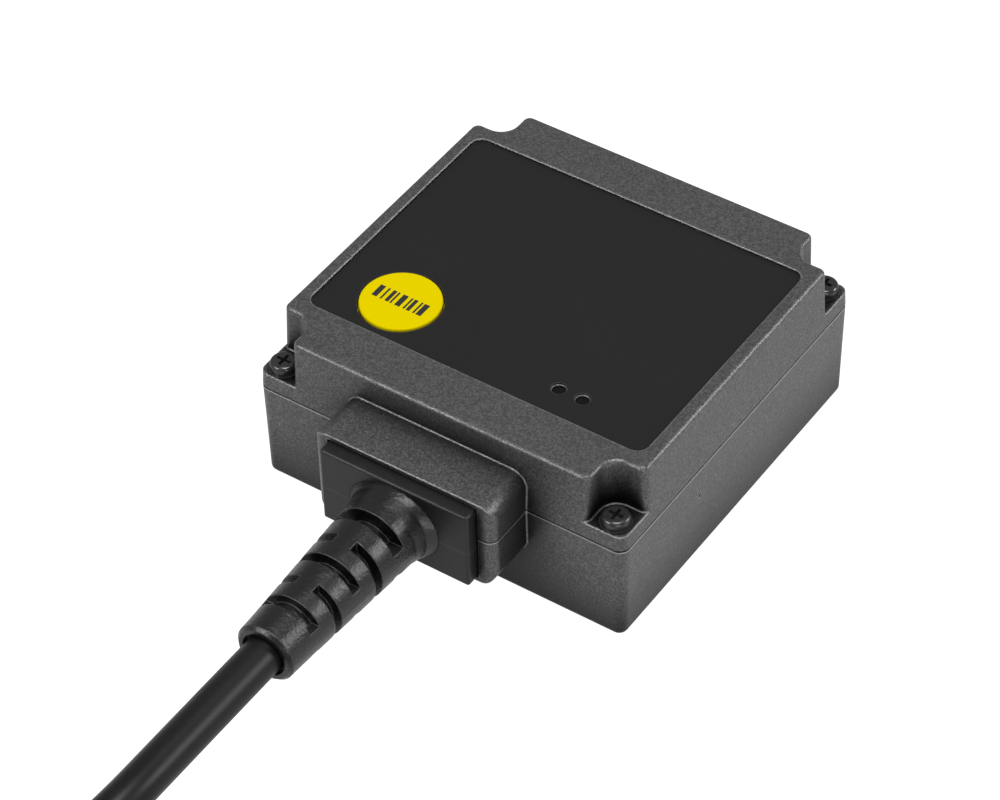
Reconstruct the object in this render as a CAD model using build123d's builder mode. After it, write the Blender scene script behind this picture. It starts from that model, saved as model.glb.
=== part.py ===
from build123d import *
import math
import os

# A compact scanner module in a two-part housing. The origin is the centre of the housing's flat
# underside, +Z is up, the captive cable leaves along -Y and the scan window looks along +Y.
# Everything is in millimetres.

os.makedirs("parts", exist_ok=True)

# ---- Housing ----
body_width = 60.0
body_depth = 59.0
body_height = 26.8
split_height = 16.45
corner_radius = 1.6
base_draft = 0.9
lid_draft = 3.3
wall = 2.0
floor_thickness = 2.0
roof_underside = 24.8
base_edge_radius = 0.8
lid_edge_radius = 0.6
split_lip_radius = 0.28
vent_y = -10.2
vent_z = 11.2
vent_radius = 0.35

# ---- Corner notches and cover screws ----
notch_x = 24.1
notch_y = 23.5
notch_radius = 2.7
notch_edge_radius = 1.1
ledge_height = 19.0
screw_x = 27.2
screw_y = 26.95
screw_head_radius = 2.0
screw_head_height = 1.35
screw_head_edge = 0.6
screw_shank_radius = 0.95
screw_length = 9.0
seat_radius = 2.3
seat_thickness = 0.25
pilot_radius = 1.0
cross_width = 0.5
cross_length = 2.2
cross_depth = 0.8

# ---- Tongue, groove and seal at the split ----
cavity_corner = 1.0
post_inner_x = 22.3
post_inner_y = 21.7
tongue_thickness = 0.8
tongue_height = 1.2
groove_gap = 0.08
seal_height = 0.8

# ---- Overlay panel, key and indicators ----
overlay_x = 27.25
overlay_y = 20.9
overlay_radius = 1.9
overlay_gap = 0.14
overlay_thickness = 0.3
overlay_top = 26.48
key_x = -16.55
key_y = -13.7
key_radius = 5.82
key_gap = 0.25
key_top = 26.78
key_edge = 0.25
key_flange_radius = 6.8
key_flange_thickness = 0.8
key_stem_radius = 1.6
key_travel = 0.4
indicator_x = 13.04
indicator_pitch = 3.78
indicator_y = -16.2
indicator_radius = 1.0
indicator_recess = 0.45

# ---- Captive cable outlet ----
outlet_z = 15.4
shroud_width = 29.2
shroud_bottom = 8.2
shroud_top = 22.7
shroud_corner = 2.4
shroud_front_radius = 1.5
shroud_front_y = -37.4
shroud_root_y = -28.6
block_half_width = 12.0
block_half_height = 6.45
block_front_y = -39.55
block_back_y = -25.9
block_edge = 0.4
outlet_gap = 0.14
flange_lip = 1.3
wall_inner_y = -body_depth / 2 + wall

# ---- Strain relief and cable ----
cable_z = 15.2
cable_radius = 2.85
relief_length = 29.15
relief_flare_length = 3.0
relief_flare_steps = [0, 0.4, 1]
relief_flare_widths = [7.4, 6.3, 5.83]
relief_flare_heights = [6.15, 6.0, 5.83]
relief_root_radius = 5.82
relief_tip_radius = 4.6
relief_core_radius = 3.55
tip_pocket_radius = 3.35
tip_pocket_depth = 1.2
slot_starts = [44.65, 49.7, 53.7, 58.2, 62.1]
slot_widths = [2.15, 1.5, 1.6, 1.4, 1.9]
side_rib_height = 3.9
top_rib_width = 2.9

# ---- Cable route from the strain relief to the coil, and from the coil to the far plug ----
cable_route = [
    (0, -67.5, 15.2),
    (0, -103.0, 15.2),
    (-6.0, -131.5, 3.0),
]
tail_route = [
    (-0.7, -124.0, 12.0),
    (1.9, -138.1, 13.5),
    (10.9, -149.8, 14.8),
    (25.1, -155.4, 15.5),
    (39.9, -151.9, 15.5),
]
coil_x = 31.0
coil_y = -127.5
coil_mean_radius = 29.3
coil_half_width = 11.6
coil_height = 12.0
tie_thickness = 0.9
tie_length = 12.0
tie_angle = 40.0
far_plug_length = 21.0
far_plug_width = 12.2
far_plug_thickness = 6.8
far_collar_radius = 3.8
far_collar_length = 4.0
far_shell_length = 6.6
far_shell_width = 8.3
far_shell_height = 2.5

# ---- Boards ----
board_thickness = 1.2
main_board_z = 17.4
main_board_x = 26.6
main_board_y = 21.0
main_boss_x = 24.6
main_boss_y = 19.0
io_board_z = 6.4
io_boss_x = 23.5
io_boss_low_y = -17.0
io_boss_high_y = -1.0
insert_spacing = 36.0
insert_radius = 2.3
insert_bore = 1.25
insert_length = 5.0
io_bosses = [
    (-io_boss_x, io_boss_low_y),
    (io_boss_x, io_boss_low_y),
    (-io_boss_x, io_boss_high_y),
    (io_boss_x, io_boss_high_y),
]
engine_bosses = [(-18.5, 6.6), (18.5, 6.6), (0, 23.0)]
pin_screw_radius = 0.75
pin_head_radius = 1.6
pin_head_height = 1.1

# ---- Scan engine ----
engine_z = 6.4
engine_half_width = 21.5
engine_back_y = 3.0
engine_front_y = 25.6
engine_top = 15.8
engine_wall = 1.2
optic_z = 10.8
mirror_x = 2.6
mirror_y = 13.9
mirror_width = 8.4
mirror_height = 5.6
mirror_thickness = 0.8
shaft_radius = 0.6
beam_y = 14.5
barrel_radius = 2.9
receiver_x = 16.0
receiver_radius = 4.1
window_half_width = 19.5
window_low = 6.0
window_high = 15.2
pane_margin = 1.4
pane_thickness = 1.2
gasket_thickness = 0.5


def save(piece, label):
    """Names a finished piece and writes it as one STEP file."""
    piece.part.label = label
    export_step(piece.part, f"parts/{label}.step")


# ---- Outlines that both shells share ----
post_size_x = body_width / 2 - post_inner_x
post_size_y = body_depth / 2 - post_inner_y
post_pitch_x = 2 * post_inner_x + post_size_x
post_pitch_y = 2 * post_inner_y + post_size_y

with BuildSketch() as cavity:
    RectangleRounded(body_width - 2 * wall, body_depth - 2 * wall, cavity_corner)
    with GridLocations(post_pitch_x, post_pitch_y, 2, 2):
        Rectangle(post_size_x, post_size_y, mode=Mode.SUBTRACT)

with BuildSketch() as tongue:
    offset(cavity.sketch, amount=tongue_thickness, kind=Kind.INTERSECTION)
    add(cavity.sketch, mode=Mode.SUBTRACT)

with BuildSketch() as groove:
    offset(cavity.sketch, amount=tongue_thickness + groove_gap, kind=Kind.INTERSECTION)

with BuildPart() as shroud:
    with BuildSketch():
        with BuildLine() as shroud_plan:
            FilletPolyline(
                (-shroud_width / 2, shroud_root_y),
                (-shroud_width / 2, shroud_front_y),
                (shroud_width / 2, shroud_front_y),
                (shroud_width / 2, shroud_root_y),
                radius=shroud_front_radius,
            )
            Line(shroud_plan.line @ 1, shroud_plan.line @ 0)
        make_face()
    extrude(amount=body_height)
    with BuildSketch(Plane.XZ):
        with Locations((0, (shroud_top + shroud_bottom) / 2)):
            RectangleRounded(shroud_width, shroud_top - shroud_bottom, shroud_corner)
    extrude(amount=-shroud_front_y + 1, mode=Mode.INTERSECT)

with BuildPart() as shroud_lower:
    add(split(shroud.part, bisect_by=Plane.XY.offset(split_height), keep=Keep.BOTTOM, mode=Mode.PRIVATE))

with BuildPart() as shroud_upper:
    add(split(shroud.part, bisect_by=Plane.XY.offset(split_height), keep=Keep.TOP, mode=Mode.PRIVATE))

# the space that the outlet block takes through the shroud and the wall
with BuildPart() as outlet_space:
    with BuildSketch(Plane.XZ.offset(-wall_inner_y - 0.4)):
        with Locations((0, outlet_z)):
            Rectangle(2 * (block_half_width + outlet_gap), 2 * (block_half_height + outlet_gap))
    extrude(amount=12)


# ---- Lower shell ----
with BuildPart() as lower_shell:
    with BuildSketch(Plane(origin=(0, 0, split_height), z_dir=(0, 0, -1))):
        RectangleRounded(body_width, body_depth, corner_radius)
    extrude(amount=split_height, taper=base_draft)
    fillet(lower_shell.faces().sort_by(Axis.Z)[0].edges(), base_edge_radius)
    fillet(lower_shell.faces().sort_by(Axis.Z)[-1].edges(), split_lip_radius)
    add(shroud_lower.part)
    with BuildSketch(Plane.XY.offset(floor_thickness)):
        add(cavity.sketch)
    extrude(amount=body_height, mode=Mode.SUBTRACT)
    # tongue that enters the upper shell
    with BuildSketch(Plane.XY.offset(split_height - split_lip_radius)):
        add(tongue.sketch)
    extrude(amount=split_lip_radius + tongue_height)
    # bosses for the threaded mounting inserts
    with BuildSketch(Plane.XY.offset(floor_thickness)):
        with GridLocations(insert_spacing, insert_spacing, 2, 2):
            Circle(insert_radius + 1.3)
    extrude(amount=io_board_z - floor_thickness)
    with BuildSketch():
        with GridLocations(insert_spacing, insert_spacing, 2, 2):
            Circle(insert_radius)
    extrude(amount=insert_length + 0.2, mode=Mode.SUBTRACT)
    # small bosses for the interface board and the scan engine
    with BuildSketch(Plane.XY.offset(floor_thickness)):
        with Locations(*io_bosses, *engine_bosses):
            Circle(2.0)
    extrude(amount=io_board_z - floor_thickness)
    with BuildSketch(Plane.XY.offset(floor_thickness)):
        with Locations(*io_bosses, *engine_bosses):
            Circle(pin_screw_radius + 0.05)
    extrude(amount=io_board_z, mode=Mode.SUBTRACT)
    # cable outlet, and two posts that hold the outlet block's flange from behind
    add(outlet_space.part, mode=Mode.SUBTRACT)
    with BuildSketch(Plane.XY.offset(floor_thickness)):
        with Locations((-12.3, block_back_y + 1.15), (12.3, block_back_y + 1.15)):
            Rectangle(1.6, 2.2)
    extrude(amount=11.0)
    # window opening
    with BuildSketch(Plane.XZ.offset(-body_depth / 2 - 1)):
        with Locations((0, (window_low + window_high) / 2)):
            RectangleRounded(2 * window_half_width, window_high - window_low, 1.2)
    extrude(amount=wall + 1.4, mode=Mode.SUBTRACT)
    # vent pinhole in the +X side
    with BuildSketch(Plane.YZ.offset(body_width / 2 + 1)):
        with Locations((vent_y, vent_z)):
            Circle(vent_radius)
    extrude(amount=-wall - 2, mode=Mode.SUBTRACT)
    # pilot holes for the cover screws
    with BuildSketch(Plane.XY.offset(split_height)):
        with GridLocations(2 * screw_x, 2 * screw_y, 2, 2):
            Circle(pilot_radius)
    extrude(amount=-7.0, mode=Mode.SUBTRACT)
save(lower_shell, "lower_shell")

# ---- Upper shell ----
with BuildPart() as upper_shell:
    with BuildSketch(Plane.XY.offset(split_height)):
        RectangleRounded(body_width, body_depth, corner_radius)
    extrude(amount=body_height - split_height, taper=lid_draft)
    with BuildSketch(Plane.XY.offset(ledge_height)):
        with GridLocations(2 * notch_x + 20, 2 * notch_y + 20, 2, 2):
            RectangleRounded(20, 20, notch_radius)
    extrude(amount=body_height, mode=Mode.SUBTRACT)
    upright = [
        edge
        for edge in upper_shell.edges().filter_by(GeomType.LINE)
        if abs(edge.tangent_at(0.5).Z) > 0.9
        and edge.center().Z > ledge_height
        and (abs(edge.center().X) > 28 or abs(edge.center().Y) > 27.5)
    ]
    fillet(upright, notch_edge_radius)
    fillet(upper_shell.faces().sort_by(Axis.Z)[-1].edges(), lid_edge_radius)
    fillet(upper_shell.faces().sort_by(Axis.Z)[0].edges(), split_lip_radius)
    add(shroud_upper.part)
    # cavity and the groove for the tongue and the seal
    with BuildSketch(Plane.XY.offset(split_height)):
        add(cavity.sketch)
    extrude(amount=roof_underside - split_height, mode=Mode.SUBTRACT)
    with BuildSketch(Plane.XY.offset(split_height)):
        add(groove.sketch)
    extrude(amount=tongue_height + seal_height + 0.02, mode=Mode.SUBTRACT)
    # bosses for the main board
    with BuildSketch(Plane.XY.offset(roof_underside)):
        with GridLocations(2 * main_boss_x, 2 * main_boss_y, 2, 2):
            Circle(2.1)
    extrude(amount=-(roof_underside - main_board_z - board_thickness))
    with BuildSketch(Plane.XY.offset(main_board_z)):
        with GridLocations(2 * main_boss_x, 2 * main_boss_y, 2, 2):
            Circle(pin_screw_radius + 0.05)
    extrude(amount=6.2, mode=Mode.SUBTRACT)
    # recess for the overlay, holes for the key and the light pipes
    with BuildSketch(Plane.XY.offset(overlay_top - overlay_thickness)):
        RectangleRounded(2 * (overlay_x + overlay_gap), 2 * (overlay_y + overlay_gap), overlay_radius)
    extrude(amount=2, mode=Mode.SUBTRACT)
    with BuildSketch(Plane.XY.offset(roof_underside - 1)):
        with Locations((key_x, key_y)):
            Circle(key_radius + key_gap)
        with Locations((indicator_x, indicator_y)):
            with GridLocations(indicator_pitch, 1, 2, 1):
                Circle(indicator_radius)
    extrude(amount=4, mode=Mode.SUBTRACT)
    add(outlet_space.part, mode=Mode.SUBTRACT)
    # clearance holes for the cover screws
    with BuildSketch(Plane.XY.offset(split_height)):
        with GridLocations(2 * screw_x, 2 * screw_y, 2, 2):
            Circle(screw_shank_radius + 0.15)
    extrude(amount=5, mode=Mode.SUBTRACT)
save(upper_shell, "upper_shell")

# ---- Seal in the groove, open where the outlet block seals itself ----
with BuildPart() as housing_seal:
    with BuildSketch(Plane.XY.offset(split_height + tongue_height)):
        add(tongue.sketch)
    extrude(amount=seal_height)
    add(outlet_space.part, mode=Mode.SUBTRACT)
save(housing_seal, "housing_seal")

# ---- Cover screws and their seat rings ----
screw_places = GridLocations(2 * screw_x, 2 * screw_y, 2, 2)
head_bottom = ledge_height + seat_thickness

with BuildPart() as screw_seats:
    with BuildSketch(Plane.XY.offset(ledge_height)):
        with screw_places:
            Circle(seat_radius)
            Circle(screw_shank_radius + 0.05, mode=Mode.SUBTRACT)
    extrude(amount=seat_thickness)
save(screw_seats, "screw_seats")

with BuildPart() as cover_screws:
    with BuildSketch(Plane.XY.offset(head_bottom)):
        with screw_places:
            Circle(screw_head_radius)
    extrude(amount=screw_head_height)
    fillet(cover_screws.edges().group_by(Axis.Z)[-1], screw_head_edge)
    with BuildSketch(Plane.XY.offset(head_bottom)):
        with screw_places:
            Circle(screw_shank_radius)
    extrude(amount=-screw_length)
    with BuildSketch(Plane.XY.offset(head_bottom + screw_head_height)):
        with screw_places:
            Rectangle(cross_length, cross_width)
            Rectangle(cross_width, cross_length)
    extrude(amount=-cross_depth, taper=8, mode=Mode.SUBTRACT)
save(cover_screws, "cover_screws")

# ---- Threaded brass inserts in the underside ----
with BuildPart() as mounting_inserts:
    with BuildSketch():
        with GridLocations(insert_spacing, insert_spacing, 2, 2):
            Circle(insert_radius)
            Circle(insert_bore, mode=Mode.SUBTRACT)
    extrude(amount=insert_length)
save(mounting_inserts, "mounting_inserts")

# ---- Overlay panel ----
with BuildPart() as overlay_panel:
    with BuildSketch(Plane.XY.offset(overlay_top - overlay_thickness)):
        RectangleRounded(2 * overlay_x, 2 * overlay_y, overlay_radius)
        with Locations((key_x, key_y)):
            Circle(key_radius + key_gap + 0.05, mode=Mode.SUBTRACT)
        with Locations((indicator_x, indicator_y)):
            with GridLocations(indicator_pitch, 1, 2, 1):
                Circle(indicator_radius + 0.12, mode=Mode.SUBTRACT)
    extrude(amount=overlay_thickness)
save(overlay_panel, "overlay_panel")

# ---- Key: cap, flange under the roof and stem ----
flange_top = roof_underside - 0.05
switch_top = main_board_z + board_thickness + 3.4
plunger_top = switch_top + 0.8

with BuildPart() as scan_button:
    with BuildSketch(Plane.XY.offset(flange_top)):
        with Locations((key_x, key_y)):
            Circle(key_radius)
    extrude(amount=key_top - flange_top)
    fillet(scan_button.edges().group_by(Axis.Z)[-1], key_edge)
    with BuildSketch(Plane.XY.offset(flange_top)):
        with Locations((key_x, key_y)):
            Circle(key_flange_radius)
    extrude(amount=-key_flange_thickness)
    with BuildSketch(Plane.XY.offset(plunger_top)):
        with Locations((key_x, key_y)):
            Circle(key_stem_radius)
    extrude(amount=flange_top - plunger_top)
save(scan_button, "scan_button")

with BuildPart() as switch_plunger:
    with BuildSketch(Plane.XY.offset(plunger_top)):
        with Locations((key_x, key_y)):
            Circle(key_stem_radius)
    extrude(amount=-1.8)
save(switch_plunger, "switch_plunger")

with BuildPart() as key_switch:
    with BuildSketch(Plane.XY.offset(main_board_z + board_thickness)):
        with Locations((key_x, key_y)):
            RectangleRounded(6.0, 6.0, 0.5)
    extrude(amount=3.4)
    with BuildSketch(Plane.XY.offset(switch_top)):
        with Locations((key_x, key_y)):
            Circle(key_stem_radius + 0.06)
    extrude(amount=-(1.8 - 0.8 + key_travel + 0.2), mode=Mode.SUBTRACT)
save(key_switch, "key_switch")

# ---- Light pipes and the lamps under them ----
pipe_top = overlay_top - indicator_recess
lamp_height = 0.7

with BuildPart() as light_pipes:
    with BuildSketch(Plane.XY.offset(pipe_top)):
        with Locations((indicator_x, indicator_y)):
            with GridLocations(indicator_pitch, 1, 2, 1):
                Circle(indicator_radius)
    extrude(amount=roof_underside - pipe_top)
    with BuildSketch(Plane.XY.offset(roof_underside)):
        with Locations((indicator_x, indicator_y)):
            with GridLocations(indicator_pitch, 1, 2, 1):
                Circle(indicator_radius + 0.5)
    extrude(amount=-(roof_underside - main_board_z - board_thickness - lamp_height - 0.3))
save(light_pipes, "light_pipes")

with BuildPart() as indicator_lamps:
    with BuildSketch(Plane.XY.offset(main_board_z + board_thickness)):
        with Locations((indicator_x, indicator_y)):
            with GridLocations(indicator_pitch, 1, 2, 1):
                Rectangle(1.6, 0.8)
    extrude(amount=lamp_height)
save(indicator_lamps, "indicator_lamps")

# ---- Main board under the lid, with its chips, beeper and screws ----
board_top = main_board_z + board_thickness

with BuildPart() as main_board:
    with BuildSketch(Plane.XY.offset(main_board_z)):
        RectangleRounded(2 * main_board_x, 2 * main_board_y, 1.0)
        with GridLocations(2 * main_boss_x, 2 * main_boss_y, 2, 2):
            Circle(pin_screw_radius + 0.1, mode=Mode.SUBTRACT)
    extrude(amount=board_thickness)
save(main_board, "main_board")

with BuildPart() as main_board_screws:
    with BuildSketch(Plane.XY.offset(main_board_z)):
        with GridLocations(2 * main_boss_x, 2 * main_boss_y, 2, 2):
            Circle(pin_head_radius)
    extrude(amount=-pin_head_height)
    with BuildSketch(Plane.XY.offset(main_board_z)):
        with GridLocations(2 * main_boss_x, 2 * main_boss_y, 2, 2):
            Circle(pin_screw_radius)
    extrude(amount=5.5)
save(main_board_screws, "main_board_screws")

with BuildPart() as main_board_chips:
    with BuildSketch(Plane.XY.offset(board_top)):
        with Locations((3, 4)):
            Rectangle(12, 12)
        with Locations((-10, 5)):
            Rectangle(8, 10)
        with Locations((-2, -8)):
            Rectangle(5, 4)
    extrude(amount=1.1)
save(main_board_chips, "main_board_chips")

with BuildPart() as main_board_capacitors:
    with BuildSketch(Plane.XY.offset(board_top)):
        with Locations((3, 13.5)):
            with GridLocations(2.2, 1.8, 5, 2):
                Rectangle(1.0, 0.6)
    extrude(amount=0.6)
save(main_board_capacitors, "main_board_capacitors")

with BuildPart() as beeper:
    with BuildSketch(Plane.XY.offset(board_top)):
        with Locations((17, 3)):
            Circle(4.8)
    extrude(amount=4.2)
    with BuildSketch(Plane.XY.offset(board_top + 4.2)):
        with Locations((17, 3)):
            Circle(0.9)
    extrude(amount=-1.2, mode=Mode.SUBTRACT)
save(beeper, "beeper")

# ---- Interface board on the floor, with its parts, header and screws ----
io_top = io_board_z + board_thickness

with BuildPart() as io_board:
    with BuildSketch(Plane.XY.offset(io_board_z)):
        with Locations((0, -9.5)):
            RectangleRounded(53.0, 22.5, 1.0)
        with Locations(*io_bosses):
            Circle(pin_screw_radius + 0.1, mode=Mode.SUBTRACT)
    extrude(amount=board_thickness)
save(io_board, "io_board")

with BuildPart() as io_board_screws:
    with BuildSketch(Plane.XY.offset(io_top)):
        with Locations(*io_bosses):
            Circle(pin_head_radius)
    extrude(amount=pin_head_height)
    with BuildSketch(Plane.XY.offset(io_top)):
        with Locations(*io_bosses):
            Circle(pin_screw_radius)
    extrude(amount=-4.8)
save(io_board_screws, "io_board_screws")

with BuildPart() as power_inductor:
    with BuildSketch(Plane.XY.offset(io_top)):
        with Locations((-16, -8)):
            RectangleRounded(6, 6, 0.8)
    extrude(amount=3.0)
save(power_inductor, "power_inductor")

with BuildPart() as interface_chip:
    with BuildSketch(Plane.XY.offset(io_top)):
        with Locations((14, -8)):
            Rectangle(7, 5)
    extrude(amount=1.2)
save(interface_chip, "interface_chip")

with BuildPart() as board_link:
    with BuildSketch(Plane.XY.offset(io_top)):
        with Locations((0, -2.5)):
            Rectangle(16, 3)
    extrude(amount=main_board_z - io_top)
save(board_link, "board_link")

# ---- Header, crimp plug and the six leads of the cable ----
lead_count = 6
lead_pitch = 1.5
lead_radius = 0.5
header_y = -16.0
lead_low = io_top + 2.4

with BuildPart() as cable_header:
    with BuildSketch(Plane.XY.offset(io_top)):
        with Locations((0, header_y)):
            Rectangle(12.6, 5.0)
    extrude(amount=4.6)
    with BuildSketch(Plane.XZ.offset(-header_y + 2.5)):
        with Locations((0, lead_low)):
            Rectangle(10.4, 3.2)
    extrude(amount=-4.0, mode=Mode.SUBTRACT)
save(cable_header, "cable_header")

with BuildPart() as crimp_plug:
    with BuildSketch(Plane.XZ.offset(-header_y + 3.4)):
        with Locations((0, lead_low)):
            Rectangle(10.2, 3.0)
    extrude(amount=-4.6)
save(crimp_plug, "crimp_plug")

with BuildPart() as cable_leads:
    for index in range(lead_count):
        lead_x = (index - (lead_count - 1) / 2) * lead_pitch
        with BuildLine() as lead_path:
            FilletPolyline(
                (lead_x, block_back_y, cable_z - 2.4),
                (lead_x, block_back_y + 3.0, cable_z - 2.4),
                (lead_x, header_y - 5.6, lead_low),
                (lead_x, header_y - 3.4, lead_low),
                radius=1.0,
            )
        with BuildSketch(Plane(origin=(lead_x, block_back_y, cable_z - 2.4), z_dir=(0, 1, 0))):
            Circle(lead_radius)
        sweep(path=lead_path.line)
save(cable_leads, "cable_leads")

# ---- Outlet block: overmould that the two shells clamp, with its flange behind the wall ----
with BuildPart() as outlet_block:
    with BuildSketch(Plane.XZ.offset(-block_front_y)):
        with Locations((0, outlet_z)):
            RectangleRounded(2 * block_half_width, 2 * block_half_height, block_edge)
    extrude(amount=block_front_y - block_back_y)
    fillet(outlet_block.faces().sort_by(Axis.Y)[0].edges(), block_edge)
    with BuildSketch(Plane.XZ.offset(-wall_inner_y - 0.05)):
        with Locations((0, outlet_z)):
            Rectangle(2 * (block_half_width + flange_lip), 2 * (block_half_height + flange_lip))
    extrude(amount=wall_inner_y + 0.05 - block_back_y)
save(outlet_block, "outlet_block")

# ---- Strain relief: tapered and slotted, round the cable ----
with BuildPart() as strain_relief:
    with BuildSketch(Plane.XY.offset(cable_z)):
        with BuildLine():
            Polyline(
                (0, block_front_y),
                (relief_root_radius, block_front_y),
                (relief_root_radius, block_front_y - relief_flare_length),
                (relief_tip_radius, block_front_y - relief_length + 3.6),
                (relief_tip_radius - 0.12, block_front_y - relief_length + 0.5),
                (relief_tip_radius - 0.62, block_front_y - relief_length),
                (tip_pocket_radius, block_front_y - relief_length),
                (tip_pocket_radius, block_front_y - relief_length + tip_pocket_depth),
                (0, block_front_y - relief_length + tip_pocket_depth),
                close=True,
            )
        make_face()
    revolve(axis=Axis((0, 0, cable_z), (0, 1, 0)))
    for reach, width, height in zip(relief_flare_steps, relief_flare_widths, relief_flare_heights):
        with BuildSketch(Plane.XZ.offset(reach * relief_flare_length - block_front_y)):
            with Locations((0, cable_z)):
                Ellipse(width, height)
    loft(ruled=True)
    for index, (start, width) in enumerate(zip(slot_starts, slot_widths)):
        with BuildSketch(Plane.XZ.offset(start)):
            with Locations((0, cable_z)):
                Circle(relief_root_radius + 2)
                Circle(relief_core_radius, mode=Mode.SUBTRACT)
                if index % 2 == 0:
                    Rectangle(30, side_rib_height, mode=Mode.SUBTRACT)
                else:
                    Rectangle(top_rib_width, 30, mode=Mode.SUBTRACT)
        extrude(amount=width, mode=Mode.SUBTRACT)
save(strain_relief, "strain_relief")


def route_radii(points):
    """The largest even arc at each corner: 0.45 of its shorter run over tan of half the turn."""
    radii = []
    for before, corner, after in zip(points, points[1:], points[2:]):
        run_in = Vector(*corner) - Vector(*before)
        run_out = Vector(*after) - Vector(*corner)
        half_turn = math.radians(run_in.get_angle(run_out)) / 2
        radii.append(0.45 * min(run_in.length, run_out.length) / math.tan(half_turn))
    return radii


def tube(points, label):
    """A plain round tube along a route of straight runs joined by tangent arcs."""
    radii = route_radii(points)
    with BuildPart() as piece:
        with BuildLine() as path:
            FilletPolyline(*points, radius=radii)
        with BuildSketch(Plane(origin=points[0], z_dir=Vector(*points[1]) - Vector(*points[0]))):
            Circle(cable_radius)
        sweep(path=path.line)
    save(piece, label)
    stretch = path.wire().length
    filled = piece.part.volume / (math.pi * cable_radius**2 * stretch)
    print(label, "length", round(stretch, 1), "radii", [round(r, 1) for r in radii], "fill", round(filled, 4))
    return piece


# ---- Cable from the strain relief to the coil, and the tail from the coil to the far plug ----
cable = tube(cable_route, "cable")
cable_tail = tube(tail_route, "cable_tail")

# ---- Tie round the coil and the coil of the rest of the cable ----
tie_plane = Plane(
    origin=(
        coil_x + coil_mean_radius * math.cos(math.radians(tie_angle)),
        coil_y + coil_mean_radius * math.sin(math.radians(tie_angle)),
        coil_height / 2 + tie_thickness / 2,
    ),
    x_dir=(math.cos(math.radians(tie_angle)), math.sin(math.radians(tie_angle)), 0),
    z_dir=(-math.sin(math.radians(tie_angle)), math.cos(math.radians(tie_angle)), 0),
)

with BuildPart() as coil_tie:
    with BuildSketch(tie_plane):
        RectangleRounded(2 * coil_half_width + 4.0, coil_height + tie_thickness, 3.4)
        RectangleRounded(
            2 * coil_half_width + 4.0 - 2 * tie_thickness,
            coil_height - tie_thickness,
            2.5,
            mode=Mode.SUBTRACT,
        )
    extrude(amount=tie_length / 2, both=True)
save(coil_tie, "coil_tie")

with BuildPart() as cable_coil:
    with BuildSketch(Plane(origin=(coil_x, coil_y, 0), x_dir=(1, 0, 0), z_dir=(0, -1, 0))):
        with Locations((coil_mean_radius, coil_height / 2)):
            RectangleRounded(2 * coil_half_width, coil_height, 2.8)
    revolve(axis=Axis((coil_x, coil_y, 0), (0, 0, 1)))
    add(coil_tie.part, mode=Mode.SUBTRACT)
save(cable_coil, "cable_coil")

# ---- Far plug at the end of the tail ----
tail_end = Vector(*tail_route[-1])
tail_way = (tail_end - Vector(*tail_route[-2])).normalized()
far_collar_plane = Plane(origin=tail_end, x_dir=(-tail_way.Y, tail_way.X, 0), z_dir=tail_way)
far_plug_plane = far_collar_plane.offset(far_collar_length)
far_shell_plane = far_plug_plane.offset(far_plug_length - far_collar_length)

with BuildPart() as far_plug:
    with BuildSketch(far_collar_plane):
        Circle(far_collar_radius - 0.4)
    extrude(amount=far_collar_length)
    with BuildSketch(far_plug_plane):
        RectangleRounded(far_plug_width, far_plug_thickness, 2.4)
    extrude(amount=far_plug_length - far_collar_length)
    fillet(far_plug.edges().filter_by(GeomType.LINE, reverse=True).group_by(Axis((0, 0, 0), tail_way))[-1], 0.6)
save(far_plug, "far_plug")

with BuildPart() as far_shell:
    with BuildSketch(far_shell_plane):
        RectangleRounded(far_shell_width, far_shell_height, far_shell_height / 2 - 0.01)
        RectangleRounded(
            far_shell_width - 0.6, far_shell_height - 0.6, far_shell_height / 2 - 0.31, mode=Mode.SUBTRACT
        )
    extrude(amount=far_shell_length)
save(far_shell, "far_shell")

with BuildPart() as far_tongue:
    with BuildSketch(far_shell_plane):
        Rectangle(6.2, 0.7)
    extrude(amount=far_shell_length - 1.0)
save(far_tongue, "far_tongue")

# ---- Scan window with its gasket ----
pane_width = 2 * (window_half_width + pane_margin)
pane_height = window_high - window_low + 2 * pane_margin
window_middle = (window_low + window_high) / 2
gasket_y = body_depth / 2 - wall

with BuildPart() as window_gasket:
    with BuildSketch(Plane.XZ.offset(-gasket_y)):
        with Locations((0, window_middle)):
            RectangleRounded(pane_width, pane_height, 1.5)
            RectangleRounded(2 * window_half_width, window_high - window_low, 1.2, mode=Mode.SUBTRACT)
    extrude(amount=gasket_thickness)
save(window_gasket, "window_gasket")

with BuildPart() as scan_window:
    with BuildSketch(Plane.XZ.offset(-gasket_y + gasket_thickness)):
        with Locations((0, window_middle)):
            RectangleRounded(pane_width, pane_height, 1.5)
    extrude(amount=pane_thickness)
save(scan_window, "scan_window")

# ---- Scan engine: open cast frame, laser, mirror on its shaft, drive coil, receiver ----
engine_floor = engine_z + 1.4
engine_depth = engine_front_y - engine_back_y
shaft_top = 15.0

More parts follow.
